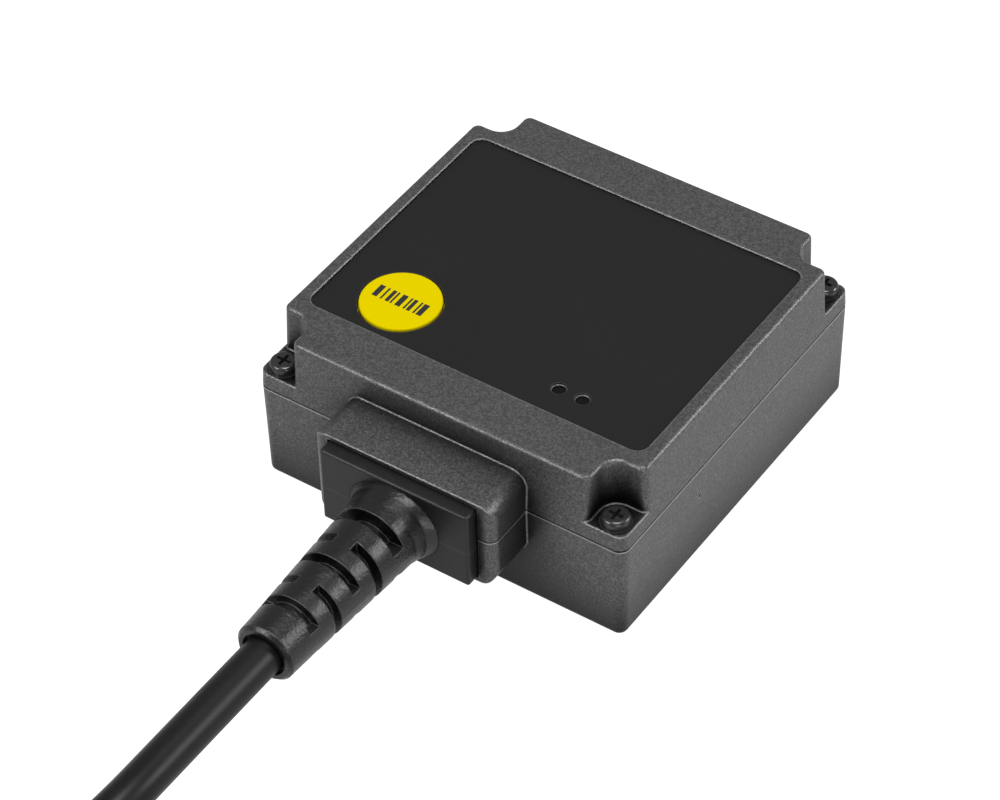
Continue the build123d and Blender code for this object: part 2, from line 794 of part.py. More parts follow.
with BuildPart() as engine_frame:
    with BuildSketch(Plane.XY.offset(engine_z)):
        with Locations((0, (engine_front_y + engine_back_y) / 2)):
            RectangleRounded(2 * engine_half_width, engine_depth, 0.8)
    extrude(amount=engine_top - engine_z)
    with BuildSketch(Plane.XY.offset(engine_floor)):
        with Locations((0, engine_back_y + engine_wall)):
            Rectangle(2 * (engine_half_width - engine_wall), 40, align=(Align.CENTER, Align.MIN))
    extrude(amount=20, mode=Mode.SUBTRACT)
    # cradle under the laser barrel, and the deck cut away under the receiver
    with BuildSketch(Plane.XY.offset(engine_floor)):
        with Locations((-11.0, beam_y)):
            Rectangle(6.0, 2 * barrel_radius + 3.0)
    extrude(amount=optic_z - engine_floor)
    with BuildSketch(Plane.YZ.offset(-15)):
        with Locations((beam_y, optic_z)):
            Circle(barrel_radius + 0.02)
    extrude(amount=8, mode=Mode.SUBTRACT)
    with BuildSketch(Plane.XY.offset(engine_z)):
        with Locations((receiver_x, 16.8)):
            Rectangle(8.6, 10.4)
    extrude(amount=2, mode=Mode.SUBTRACT)
    with BuildSketch(Plane.XY.offset(engine_z)):
        with Locations(*engine_bosses):
            Circle(pin_screw_radius + 0.1)
    extrude(amount=2, mode=Mode.SUBTRACT)
    with BuildSketch(Plane.XY.offset(engine_z)):
        with Locations((mirror_x, mirror_y)):
            Circle(shaft_radius)
    extrude(amount=2, mode=Mode.SUBTRACT)
save(engine_frame, "engine_frame")

with BuildPart() as engine_screws:
    with BuildSketch(Plane.XY.offset(engine_floor)):
        with Locations(*engine_bosses):
            Circle(pin_head_radius)
    extrude(amount=pin_head_height)
    with BuildSketch(Plane.XY.offset(engine_floor)):
        with Locations(*engine_bosses):
            Circle(pin_screw_radius)
    extrude(amount=-5.0)
save(engine_screws, "engine_screws")

with BuildPart() as laser_barrel:
    with BuildSketch(Plane.YZ.offset(-15.6)):
        with Locations((beam_y, optic_z)):
            Circle(barrel_radius)
            Circle(1.9, mode=Mode.SUBTRACT)
    extrude(amount=9.1)
save(laser_barrel, "laser_barrel")

with BuildPart() as laser_diode:
    with BuildSketch(Plane.YZ.offset(-16.8)):
        with Locations((beam_y, optic_z)):
            Circle(2.8)
    extrude(amount=1.2)
    with BuildSketch(Plane.YZ.offset(-15.6)):
        with Locations((beam_y, optic_z)):
            Circle(1.8)
    extrude(amount=2.3)
    with BuildSketch(Plane.YZ.offset(-16.8)):
        with Locations((beam_y, optic_z)):
            with PolarLocations(1.0, 3):
                Circle(0.22)
    extrude(amount=-2.3)
save(laser_diode, "laser_diode")

with BuildPart() as collimator_lens:
    with BuildSketch(Plane.YZ.offset(-9.5)):
        with Locations((beam_y, optic_z)):
            Circle(1.85)
    extrude(amount=1.6)
    fillet(collimator_lens.edges().group_by(Axis.X)[-1], 0.5)
save(collimator_lens, "collimator_lens")

with BuildPart() as laser_board:
    with BuildSketch(Plane.YZ.offset(-20.2)):
        with Locations((beam_y, 11.5)):
            Rectangle(11.0, 7.2)
    extrude(amount=1.0)
save(laser_board, "laser_board")

with BuildPart() as mirror_shaft:
    with BuildSketch(Plane.XY.offset(engine_z)):
        with Locations((mirror_x, mirror_y)):
            Circle(shaft_radius)
    extrude(amount=shaft_top - engine_z)
save(mirror_shaft, "mirror_shaft")


def mirror_plane(height):
    """Level plane on the mirror's shaft, its X towards the reflecting side, 45 degrees off both beams."""
    return Plane(origin=(mirror_x, mirror_y, height), x_dir=(-1, 1, 0), z_dir=(0, 0, 1))


with BuildPart() as mirror_holder:
    with BuildSketch(mirror_plane(8.1)):
        with Locations((-0.6, 0)):
            Rectangle(2.1, 3.2)
    extrude(amount=5.4)
    with BuildSketch(mirror_plane(9.8)):
        with Locations((-2.9, 0)):
            Rectangle(2.6, 1.6)
    extrude(amount=2.0)
    with BuildSketch(mirror_plane(8.0)):
        Circle(shaft_radius + 0.04)
    extrude(amount=6.0, mode=Mode.SUBTRACT)
save(mirror_holder, "mirror_holder")

with BuildPart() as mirror_magnet:
    with BuildSketch(mirror_plane(9.5)):
        with Locations((-5.3, 0)):
            Rectangle(2.2, 2.6)
    extrude(amount=2.6)
save(mirror_magnet, "mirror_magnet")

with BuildPart() as scan_mirror:
    with BuildSketch(mirror_plane(optic_z - mirror_height / 2)):
        with Locations((1.05 + mirror_thickness / 2, 0)):
            Rectangle(mirror_thickness, mirror_width)
    extrude(amount=mirror_height)
save(scan_mirror, "scan_mirror")

coil_plane = Plane(origin=(mirror_x, mirror_y, optic_z), x_dir=(1, 1, 0), z_dir=(1, -1, 0))

with BuildPart() as drive_coil:
    with BuildSketch(coil_plane.offset(7.6)):
        Circle(2.6)
        Circle(1.0, mode=Mode.SUBTRACT)
    extrude(amount=3.0)
save(drive_coil, "drive_coil")

with BuildPart() as coil_core:
    with BuildSketch(coil_plane.offset(7.4)):
        Circle(0.95)
    extrude(amount=3.4)
save(coil_core, "coil_core")

with BuildPart() as receiver_barrel:
    with BuildSketch(Plane.XZ.offset(-21.6)):
        with Locations((receiver_x, optic_z)):
            Circle(receiver_radius)
            Circle(receiver_radius - 0.8, mode=Mode.SUBTRACT)
    extrude(amount=9.6)
save(receiver_barrel, "receiver_barrel")

with BuildPart() as receiver_lens:
    with BuildSketch(Plane.XZ.offset(-19.0)):
        with Locations((receiver_x, optic_z)):
            Circle(receiver_radius - 0.85)
    extrude(amount=-2.2)
    fillet(receiver_lens.edges().group_by(Axis.Y)[-1], 0.9)
save(receiver_lens, "receiver_lens")

with BuildPart() as receiver_board:
    with BuildSketch(Plane.XZ.offset(-10.0)):
        with Locations((receiver_x, 11.5)):
            Rectangle(7.6, 7.2)
    extrude(amount=1.0)
save(receiver_board, "receiver_board")

with BuildPart() as photodiode:
    with BuildSketch(Plane.XZ.offset(-11.2)):
        with Locations((receiver_x, optic_z)):
            Rectangle(4.0, 4.0)
    extrude(amount=1.2)
save(photodiode, "photodiode")
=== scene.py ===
"""Looks of a compact scanner module: finishes for its CAD nodes, its cable, a plain studio."""

import logging
import math
from dataclasses import dataclass, field
from enum import Enum
from typing import Callable, ClassVar

import bpy
from mathutils import Matrix, Vector

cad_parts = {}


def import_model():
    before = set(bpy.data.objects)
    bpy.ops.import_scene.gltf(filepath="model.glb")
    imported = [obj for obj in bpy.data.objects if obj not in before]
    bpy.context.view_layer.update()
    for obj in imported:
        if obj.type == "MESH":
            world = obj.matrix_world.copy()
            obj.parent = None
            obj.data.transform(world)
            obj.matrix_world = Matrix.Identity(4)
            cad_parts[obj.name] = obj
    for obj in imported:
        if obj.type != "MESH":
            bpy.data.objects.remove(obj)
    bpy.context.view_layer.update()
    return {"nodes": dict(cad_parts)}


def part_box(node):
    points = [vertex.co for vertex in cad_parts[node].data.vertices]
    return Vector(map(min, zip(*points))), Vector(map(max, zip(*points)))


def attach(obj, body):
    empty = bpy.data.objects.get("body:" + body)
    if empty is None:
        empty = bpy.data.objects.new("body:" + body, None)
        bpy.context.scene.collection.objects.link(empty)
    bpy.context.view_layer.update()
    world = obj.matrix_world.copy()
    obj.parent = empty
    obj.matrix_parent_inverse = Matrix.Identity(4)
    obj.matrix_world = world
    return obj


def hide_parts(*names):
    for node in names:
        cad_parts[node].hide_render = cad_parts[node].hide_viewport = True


log = logging.getLogger("scanner_module")

Point = tuple[float, float, float]
Colour = tuple[float, float, float]

MM = 0.001
NEAR_BLACK: Colour = (0.001, 0.001, 0.001)
SPLIT_HEIGHT = 16.45 * MM
BLOCK_LINE_HEIGHT = 15.1 * MM

# Places of the colour Mix node's sockets, whose names repeat for each type of data.
MIX_FACTOR, MIX_FIRST, MIX_SECOND, MIX_RESULT = 0, 6, 7, 2

# How the shared effects are laid over a finish's colour: EDGE_GRAIN breaks up the painted edge
# highlight, SEAM_LIGHT and SEAM_DARK set the painted highlight and painted shade of the parting line.
EDGE_GRAIN = 0.6
SEAM_LIGHT = 0.45
SEAM_DARK = 0.97


# ---------------------------------------------------------------------------
# Shader node helpers
# ---------------------------------------------------------------------------

class Socket(Enum):
    """Kinds of socket that the shared effects use."""

    VALUE = "NodeSocketFloat"
    COLOUR = "NodeSocketColor"
    VECTOR = "NodeSocketVector"


def add_object(name: str, data: bpy.types.ID) -> bpy.types.Object:
    """Adds an object to the scene.

    Args:
        name: the object's name.
        data: its mesh, curve, light or camera.

    Returns:
        The new object.
    """
    made = bpy.data.objects.new(name, data)
    bpy.context.collection.objects.link(made)
    return made


def towards(azimuth: float, elevation: float) -> Vector:
    """Returns the unit vector out from the object, from angles in radians, 0 being towards -Y."""
    level = math.cos(elevation)
    return Vector((math.sin(azimuth) * level, -math.cos(azimuth) * level, math.sin(elevation)))


def smooth(value: float) -> float:
    """Returns a smooth step from 0 to 1 over the unit range."""
    held = min(max(value, 0.0), 1.0)
    return held * held * (3 - 2 * held)


@dataclass
class NodeTree:
    """Thin wrapper that adds and links nodes in one tree.

    Args:
        tree: the material's or group's node tree.
    """

    tree: bpy.types.NodeTree

    def add(self, kind: str, **values: object) -> bpy.types.Node:
        """Adds a node and sets its properties or unlinked inputs.

        Args:
            kind: the node's class name.
            **values: property names, or input names with underscores for spaces.

        Returns:
            The new node.
        """
        node = self.tree.nodes.new(kind)
        for name, value in values.items():
            if hasattr(node, name):
                setattr(node, name, value)
            else:
                node.inputs[name.replace("_", " ")].default_value = value
        return node

    def link(self, source: bpy.types.NodeSocket, target: bpy.types.NodeSocket) -> None:
        """Links an output to an input."""
        self.tree.links.new(source, target)

    def maths(self, operation: str, first: object, second: object = 0.0) -> bpy.types.NodeSocket:
        """Adds a Math node fed by sockets or plain numbers.

        Args:
            operation: the Math node's operation.
            first: a socket or a number.
            second: a socket or a number.

        Returns:
            The result's socket.
        """
        node = self.add("ShaderNodeMath", operation=operation)
        for slot, value in zip(node.inputs, (first, second)):
            if isinstance(value, bpy.types.NodeSocket):
                self.link(value, slot)
            else:
                slot.default_value = value
        return node.outputs[0]

    def ramp(self, source: bpy.types.NodeSocket, low: float, high: float,
             out_low: float = 0.0, out_high: float = 1.0) -> bpy.types.NodeSocket:
        """Maps a range of a value smoothly onto another range.

        Args:
            source: the value to map.
            low: where the input range starts.
            high: where the input range ends.
            out_low: what the start maps to.
            out_high: what the end maps to.

        Returns:
            The mapped value's socket.
        """
        node = self.add("ShaderNodeMapRange", interpolation_type="SMOOTHSTEP")
        self.link(source, node.inputs["Value"])
        limits = {"From Min": low, "From Max": high, "To Min": out_low, "To Max": out_high}
        for name, value in limits.items():
            node.inputs[name].default_value = value
        return node.outputs["Result"]

    def mix(self, factor: object, first: object, second: object) -> bpy.types.NodeSocket:
        """Mixes two colours.

        Args:
            factor: a socket or a number.
            first: colour socket or colour at factor 0.
            second: colour socket or colour at factor 1.

        Returns:
            The mixed colour's socket.
        """
        node = self.add("ShaderNodeMix", data_type="RGBA")
        given = ((MIX_FACTOR, factor), (MIX_FIRST, first), (MIX_SECOND, second))
        for place, value in given:
            slot = node.inputs[place]
            if isinstance(value, bpy.types.NodeSocket):
                self.link(value, slot)
            elif isinstance(value, tuple):
                slot.default_value = (*value, 1.0)
            else:
                slot.default_value = value
        return node.outputs[MIX_RESULT]


@dataclass
class Effect:
    """A shared effect as a node group, built once and placed in each material that uses it.

    Args:
        name: the group's name.
        inputs: socket name, kind and default of each input.
        outputs: socket name and kind of each output.
        build: fills the group, given its tree, its input sockets and its output sockets.
    """

    name: str
    inputs: list[tuple[str, Socket, object]]
    outputs: list[tuple[str, Socket]]
    build: Callable[[NodeTree, bpy.types.Node, bpy.types.Node], None]

    def group(self) -> bpy.types.NodeTree:
        """Returns the node group, making it the first time."""
        known = bpy.data.node_groups.get(self.name)
        if known is not None:
            return known
        tree = bpy.data.node_groups.new(self.name, "ShaderNodeTree")
        for name, kind, default in self.inputs:
            made = tree.interface.new_socket(name=name, in_out="INPUT", socket_type=kind.value)
            made.default_value = default
        for name, kind in self.outputs:
            tree.interface.new_socket(name=name, in_out="OUTPUT", socket_type=kind.value)
        nodes = NodeTree(tree)
        self.build(nodes, nodes.add("NodeGroupInput"), nodes.add("NodeGroupOutput"))
        return tree

    def place(self, nodes: NodeTree, **values: object) -> bpy.types.Node:
        """Places the group in a material.

        Args:
            nodes: the material's tree.
            **values: input names, with underscores for spaces, and their numbers.

        Returns:
            The group's node.
        """
        node = nodes.add("ShaderNodeGroup")
        node.node_tree = self.group()
        for name, value in values.items():
            node.inputs[name.replace("_", " ")].default_value = value
        return node


def build_spark_texture(nodes: NodeTree, given: bpy.types.Node, out: bpy.types.Node) -> None:
    """Fills the spark-eroded texture: fine pits in two sizes, with a mask of their bright rims."""
    coarse_scale, fine_share, coarse_share = 0.37, 0.7, 0.3
    rim_low, rim_high = 0.42, 0.66
    where = nodes.add("ShaderNodeTexCoord").outputs["Object"]
    fine = nodes.add("ShaderNodeTexNoise", Detail=3.0, Roughness=0.65)
    nodes.link(where, fine.inputs["Vector"])
    nodes.link(given.outputs["Scale"], fine.inputs["Scale"])
    coarse = nodes.add("ShaderNodeTexNoise", Detail=2.0, Roughness=0.5)
    nodes.link(where, coarse.inputs["Vector"])
    larger = nodes.maths("MULTIPLY", given.outputs["Scale"], coarse_scale)
    nodes.link(larger, coarse.inputs["Scale"])
    both = nodes.maths("ADD", nodes.maths("MULTIPLY", fine.outputs["Fac"], fine_share),
                       nodes.maths("MULTIPLY", coarse.outputs["Fac"], coarse_share))
    nodes.link(both, out.inputs["Height"])
    nodes.link(nodes.ramp(both, rim_low, rim_high), out.inputs["Mask"])


def build_handling_marks(nodes: NodeTree, given: bpy.types.Node, out: bpy.types.Node) -> None:
    """Fills the handling marks: broad cloudy patches where a surface is a little rubbed or dusty."""
    patch_low, patch_high = 0.38, 0.68
    where = nodes.add("ShaderNodeTexCoord").outputs["Object"]
    cloud = nodes.add("ShaderNodeTexNoise", Detail=5.0, Roughness=0.6, Distortion=0.4)
    nodes.link(where, cloud.inputs["Vector"])
    nodes.link(given.outputs["Scale"], cloud.inputs["Scale"])
    mask = nodes.ramp(cloud.outputs["Fac"], patch_low, patch_high)
    nodes.link(nodes.maths("MULTIPLY", mask, given.outputs["Amount"]), out.inputs["Mask"])


def build_edge_sheen(nodes: NodeTree, given: bpy.types.Node, out: bpy.types.Node) -> None:
    """Fills the edge sheen: a slightly rounded normal, and a mask of where it leaves the true one,
    which marks where a highlight is painted on the edges.
    """
    flat, full_edge = 0.006, 0.10  # one minus the cosine of the angle between the normals
    rounded = nodes.add("ShaderNodeBevel", samples=6)
    nodes.link(given.outputs["Radius"], rounded.inputs["Radius"])
    plain = nodes.add("ShaderNodeNewGeometry").outputs["Normal"]
    dot = nodes.add("ShaderNodeVectorMath", operation="DOT_PRODUCT")
    nodes.link(rounded.outputs["Normal"], dot.inputs[0])
    nodes.link(plain, dot.inputs[1])
    away = nodes.maths("SUBTRACT", 1.0, dot.outputs["Value"])
    nodes.link(nodes.ramp(away, flat, full_edge), out.inputs["Mask"])
    nodes.link(rounded.outputs["Normal"], out.inputs["Normal"])


def build_corner_shade(nodes: NodeTree, given: bpy.types.Node, out: bpy.types.Node) -> None:
    """Fills the mask for painted shade: 1 deep in corners and slots, and 0 in the open."""
    deep, in_the_open = 0.45, 0.97
    shade = nodes.add("ShaderNodeAmbientOcclusion", samples=8)
    nodes.link(given.outputs["Reach"], shade.inputs["Distance"])
    nodes.link(nodes.ramp(shade.outputs["AO"], deep, in_the_open, 1.0, 0.0), out.inputs["Mask"])


def build_parting_line(nodes: NodeTree, given: bpy.types.Node, out: bpy.types.Node) -> None:
    """Fills the parting line: a thin band of painted shade at one height, with a band of painted
    highlight under it.
    """
    dark_core, dark_rim = 0.5, 1.2  # these five are in half widths of the line
    light_drop, light_core, light_rim = 1.7, 0.2, 0.9
    where = nodes.add("ShaderNodeTexCoord").outputs["Object"]
    split = nodes.add("ShaderNodeSeparateXYZ")
    nodes.link(where, split.inputs[0])
    rise = nodes.maths("DIVIDE", nodes.maths("SUBTRACT", split.outputs["Z"], given.outputs["Height"]),
                       given.outputs["Width"])
    nodes.link(nodes.ramp(nodes.maths("ABSOLUTE", rise), dark_core, dark_rim, 1.0, 0.0),
               out.inputs["Dark"])
    below = nodes.maths("ABSOLUTE", nodes.maths("ADD", rise, light_drop))
    nodes.link(nodes.ramp(below, light_core, light_rim, 1.0, 0.0), out.inputs["Light"])


PARTING_LINE = Effect(
    "PartingLine",
    [("Height", Socket.VALUE, 0.0), ("Width", Socket.VALUE, 0.0002)],
    [("Dark", Socket.VALUE), ("Light", Socket.VALUE)],
    build_parting_line,
)
# The mask says where a highlight is painted on edges; the normal only rounds their shading.
EDGE_SHEEN = Effect(
    "EdgeSheen",
    [("Radius", Socket.VALUE, 0.0003)],
    [("Mask", Socket.VALUE), ("Normal", Socket.VECTOR)],
    build_edge_sheen,
)
# Painted shade in corners and slots, from an occlusion mask.
CORNER_SHADE = Effect(
    "CornerShade",
    [("Reach", Socket.VALUE, 0.01)],
    [("Mask", Socket.VALUE)],
    build_corner_shade,
)
SPARK_TEXTURE = Effect(
    "SparkTexture",
    [("Scale", Socket.VALUE, 4000.0)],
    [("Height", Socket.VALUE), ("Mask", Socket.VALUE)],
    build_spark_texture,
)
HANDLING_MARKS = Effect(
    "HandlingMarks",
    [("Scale", Socket.VALUE, 60.0), ("Amount", Socket.VALUE, 1.0)],
    [("Mask", Socket.VALUE)],
    build_handling_marks,
)


# ---------------------------------------------------------------------------
# Finishes
# ---------------------------------------------------------------------------

@dataclass(frozen=True)
class Finish:
    """A surface finish: colour, gloss and texture of one material.

    Args:
        name: the material's name.
        colour: base colour.
        speck: colour that the texture's high spots lean to.
        roughness: roughness of the smooth parts.
        rough_spread: how much the marks add to the roughness.
        texture_scale: repeats of the texture per metre.
        bump: depth of the texture, in metres.
        bump_strength: how strongly the texture turns the surface.
        metallic: 0 for plastics, 1 for bare metal.
        coat: weight of a clear coat.
        coat_roughness: roughness of the clear coat.
        specular: specular level.
        transmission: 1 for clear pieces.
        ior: index of refraction.
        speck_amount: how far the high spots lean to the speck colour.
        marks_scale: size of the handling marks, as repeats per metre.
        edge: how strongly a highlight is painted along the edges.
        highlight_colour: colour of the highlight painted on the edges and under the parting line.
        edge_radius: radius of the rounding that catches the light.
        corner_shade: how far corners darken with painted shade.
        corner_shade_reach: how far from a corner the painted shade reaches.
        seam: height of a parting line round the piece, drawn as painted shade with a painted
            highlight under it, or 0 for none.
        seam_width: half the width of the parting line.
    """

    name: str
    colour: Colour
    speck: Colour
    roughness: float = 0.5
    rough_spread: float = 0.08
    texture_scale: float = 4000.0
    bump: float = 0.00002
    bump_strength: float = 0.5
    metallic: float = 0.0
    coat: float = 0.0
    coat_roughness: float = 0.1
    specular: float = 0.5
    transmission: float = 0.0
    ior: float = 1.5
    speck_amount: float = 0.5
    marks_scale: float = 45.0
    edge: float = 0.0
    highlight_colour: Colour = (0.35, 0.35, 0.355)
    edge_radius: float = 0.0003
    corner_shade: float = 0.0
    corner_shade_reach: float = 0.010
    seam: float = 0.0
    seam_width: float = 0.00016

    def base_colour(self, nodes: NodeTree, lean: bpy.types.NodeSocket) -> bpy.types.NodeSocket:
        """Builds the base colour: the texture's specks, then painted shade in the corners.

        Args:
            nodes: the material's tree.
            lean: how far the colour leans to the speck colour.

        Returns:
            The colour's socket.
        """
        colour = nodes.mix(lean, self.colour, self.speck)
        # Painted shade: corners and slots are darkened towards near black.
        if self.corner_shade:
            corners = CORNER_SHADE.place(nodes, Reach=self.corner_shade_reach)
            deep = nodes.maths("MULTIPLY", corners.outputs["Mask"], self.corner_shade)
            colour = nodes.mix(deep, colour, NEAR_BLACK)
        return colour

    def painted_edge_highlight(self, nodes: NodeTree, colour: bpy.types.NodeSocket, edges: bpy.types.Node,
                   texture: bpy.types.Node) -> bpy.types.NodeSocket:
        """Paints a highlight on the edges, broken up by the texture.

        Args:
            nodes: the material's tree.
            colour: the colour so far.
            edges: the edge sheen's node.
            texture: the spark texture's node.

        Returns:
            The colour's socket.
        """
        # Painted highlight: the edges are lightened towards a bright colour.
        broken = nodes.maths("MULTIPLY", texture.outputs["Mask"], EDGE_GRAIN)
        grain = nodes.maths("ADD", broken, 1.0 - EDGE_GRAIN)
        mask = nodes.maths("MULTIPLY", edges.outputs["Mask"], grain)
        return nodes.mix(nodes.maths("MULTIPLY", mask, self.edge), colour, self.highlight_colour)

    def seam_line(self, nodes: NodeTree, colour: bpy.types.NodeSocket) -> bpy.types.NodeSocket:
        """Draws the parting line's bands of painted highlight and painted shade.

        Args:
            nodes: the material's tree.
            colour: the colour so far.

        Returns:
            The colour's socket.
        """
        line = PARTING_LINE.place(nodes, Height=self.seam, Width=self.seam_width)
        # Painted highlight under the line and painted shade in it.
        light = nodes.maths("MULTIPLY", line.outputs["Light"], SEAM_LIGHT)
        dark = nodes.maths("MULTIPLY", line.outputs["Dark"], SEAM_DARK)
        return nodes.mix(dark, nodes.mix(light, colour, self.highlight_colour), NEAR_BLACK)

    def material(self) -> bpy.types.Material:
        """Returns the finish's material, making it the first time."""
        known = bpy.data.materials.get(self.name)
        if known is not None:
            return known
        made = bpy.data.materials.new(self.name)
        made.use_nodes = True
        made.node_tree.nodes.clear()
        nodes = NodeTree(made.node_tree)
        shader = nodes.add("ShaderNodeBsdfPrincipled")
        shader.inputs["Metallic"].default_value = self.metallic
        shader.inputs["Coat Weight"].default_value = self.coat
        shader.inputs["Coat Roughness"].default_value = self.coat_roughness
        shader.inputs["Specular IOR Level"].default_value = self.specular
        shader.inputs["Transmission Weight"].default_value = self.transmission
        shader.inputs["IOR"].default_value = self.ior
        texture = SPARK_TEXTURE.place(nodes, Scale=self.texture_scale)
        marks = HANDLING_MARKS.place(nodes, Scale=self.marks_scale, Amount=1.0)
        lean = nodes.maths("MULTIPLY", texture.outputs["Mask"], self.speck_amount)
        colour = self.base_colour(nodes, lean)
        spread = nodes.maths("MULTIPLY", marks.outputs["Mask"], self.rough_spread)
        nodes.link(nodes.maths("ADD", spread, self.roughness), shader.inputs["Roughness"])
        bump = nodes.add("ShaderNodeBump", Strength=self.bump_strength, Distance=self.bump)
        nodes.link(texture.outputs["Height"], bump.inputs["Height"])
        if self.edge:
            edges = EDGE_SHEEN.place(nodes, Radius=self.edge_radius)
            colour = self.painted_edge_highlight(nodes, colour, edges, texture)
            nodes.link(edges.outputs["Normal"], bump.inputs["Normal"])
        if self.seam:
            colour = self.seam_line(nodes, colour)
        nodes.link(colour, shader.inputs["Base Color"])
        nodes.link(bump.outputs["Normal"], shader.inputs["Normal"])
        surface = nodes.add("ShaderNodeOutputMaterial")
        nodes.link(shader.outputs["BSDF"], surface.inputs["Surface"])
        made.diffuse_color = (*self.colour, 1.0)
        return made


HOUSING = Finish(
    "eroded_housing", (0.060, 0.060, 0.061), (0.34, 0.34, 0.345), roughness=0.32,
    rough_spread=0.05, texture_scale=7200.0, bump=0.00004, bump_strength=0.8, speck_amount=0.5,
    specular=0.6, metallic=0.6, edge=0.62, highlight_colour=(0.55, 0.55, 0.56), edge_radius=0.00045,
    corner_shade=0.96, corner_shade_reach=0.015, seam=SPLIT_HEIGHT,
)
OVERLAY_FILM = Finish(
    "overlay_film", (0.0068, 0.007, 0.0074), (0.014, 0.014, 0.0145), roughness=0.40,
    rough_spread=0.06, texture_scale=9000.0, bump=0.000008, bump_strength=0.4, speck_amount=0.4,
    specular=0.3, edge=0.35, edge_radius=0.00012,
)
KEY_YELLOW = Finish(
    "trigger_yellow", (0.60, 0.48, 0.0), (0.64, 0.51, 0.0), roughness=0.42, rough_spread=0.05,
    texture_scale=3000.0, bump=0.000006, bump_strength=0.2, speck_amount=0.3, specular=0.0,
)
KEY_PRINT = Finish(
    "key_print", (0.012, 0.012, 0.012), (0.03, 0.03, 0.03), roughness=0.5, rough_spread=0.05,
    texture_scale=6000.0, bump=0.000006, bump_strength=0.2, speck_amount=0.3,
)
OVERMOULD = Finish(
    "overmould_block", (0.006, 0.006, 0.0063), (0.014, 0.014, 0.0145), roughness=0.36,
    rough_spread=0.08, texture_scale=2600.0, bump=0.00003, bump_strength=0.3, speck_amount=0.5,
    specular=0.4, edge=0.2, edge_radius=0.0003, corner_shade=0.8, corner_shade_reach=0.006,
    highlight_colour=(0.16, 0.16, 0.16), seam=BLOCK_LINE_HEIGHT, seam_width=0.00006,
)
RELIEF = Finish(
    "strain_relief_grain", (0.003, 0.003, 0.0032), (0.008, 0.008, 0.0082), roughness=0.22,
    rough_spread=0.05, texture_scale=2700.0, bump=0.00011, bump_strength=0.9, speck_amount=0.4,
    specular=0.6, edge=0.12, edge_radius=0.0003, corner_shade=0.9, corner_shade_reach=0.004,
)
JACKET = Finish(
    "glossy_jacket", (0.0045, 0.0045, 0.0047), (0.009, 0.009, 0.009), roughness=0.33,
    rough_spread=0.08, texture_scale=1800.0, bump=0.00001, bump_strength=0.25, speck_amount=0.4,
    specular=0.3,
)
BLACK_STEEL = Finish(
    "black_zinc_steel", (0.055, 0.055, 0.057), (0.13, 0.13, 0.13), roughness=0.17,
    rough_spread=0.10, texture_scale=3000.0, bump=0.00001, bump_strength=0.3, metallic=0.75,
    speck_amount=0.4,
)
BRIGHT_STEEL = Finish(
    "nickel_steel", (0.60, 0.60, 0.61), (0.72, 0.72, 0.72), roughness=0.24, rough_spread=0.12,
    texture_scale=3000.0, bump=0.000008, bump_strength=0.2, metallic=1.0,
)
BRASS = Finish(
    "insert_brass", (0.66, 0.46, 0.17), (0.80, 0.62, 0.30), roughness=0.28, rough_spread=0.14,
    texture_scale=3500.0, bump=0.00002, bump_strength=0.4, metallic=1.0,
)
SILICONE = Finish(
    "grey_silicone", (0.12, 0.12, 0.125), (0.16, 0.16, 0.16), roughness=0.6, texture_scale=2500.0,
)
CLEAR = Finish(
    "clear_polycarbonate", (0.9, 0.92, 0.94), (0.95, 0.96, 0.97), roughness=0.05,
    rough_spread=0.04, texture_scale=900.0, bump=0.000003, bump_strength=0.1, transmission=1.0,
    ior=1.58, specular=0.5,
)
# Near black: painted shade, so that the indicator holes read dark.
PIPE = Finish(
    "near_black_pipe", (0.002, 0.002, 0.0021), (0.004, 0.004, 0.004), roughness=0.06,
    rough_spread=0.04, texture_scale=1400.0, bump=0.00008, bump_strength=0.8, ior=1.45,
    specular=0.25,
)
DARK_LENS = Finish(
    "dark_red_filter", (0.12, 0.008, 0.012), (0.16, 0.012, 0.018), roughness=0.04,
    rough_spread=0.04, texture_scale=900.0, bump=0.000003, bump_strength=0.1, transmission=0.55,
    ior=1.5, coat=0.5, coat_roughness=0.03,
)
SOLDER_RESIST = Finish(
    "solder_resist", (0.012, 0.10, 0.035), (0.02, 0.15, 0.06), roughness=0.35,
    texture_scale=2200.0, coat=0.3,
)
EPOXY = Finish(
    "chip_epoxy", (0.02, 0.02, 0.02), (0.035, 0.035, 0.035), roughness=0.5, texture_scale=5000.0,
)
CERAMIC = Finish(
    "sintered_ceramic", (0.36, 0.26, 0.16), (0.42, 0.33, 0.22), roughness=0.6,
    texture_scale=4000.0,
)
CAST_METAL = Finish(
    "cast_aluminium", (0.42, 0.43, 0.44), (0.52, 0.52, 0.53), roughness=0.45,
    texture_scale=2600.0, bump=0.00003, bump_strength=0.5, metallic=1.0,
)
MIRROR = Finish(
    "front_mirror", (0.93, 0.93, 0.93), (0.96, 0.96, 0.96), roughness=0.02, rough_spread=0.02,
    texture_scale=900.0, bump=0.000001, bump_strength=0.05, metallic=1.0,
)
COPPER = Finish(
    "enamelled_copper", (0.55, 0.20, 0.07), (0.70, 0.34, 0.14), roughness=0.3,
    texture_scale=6000.0, bump=0.00004, bump_strength=0.6, metallic=0.9, coat=0.4,
)
NYLON = Finish(
    "milky_nylon", (0.72, 0.69, 0.60), (0.80, 0.78, 0.70), roughness=0.45, texture_scale=2500.0,
)
LEAD = Finish(
    "red_insulation", (0.32, 0.03, 0.02), (0.42, 0.06, 0.04), roughness=0.38,
    texture_scale=2500.0,
)
STRAP = Finish(
    "loop_strap", (0.012, 0.012, 0.013), (0.05, 0.05, 0.052), roughness=0.85,
    texture_scale=3200.0, bump=0.0002, bump_strength=0.9, speck_amount=0.7, specular=0.2,
)


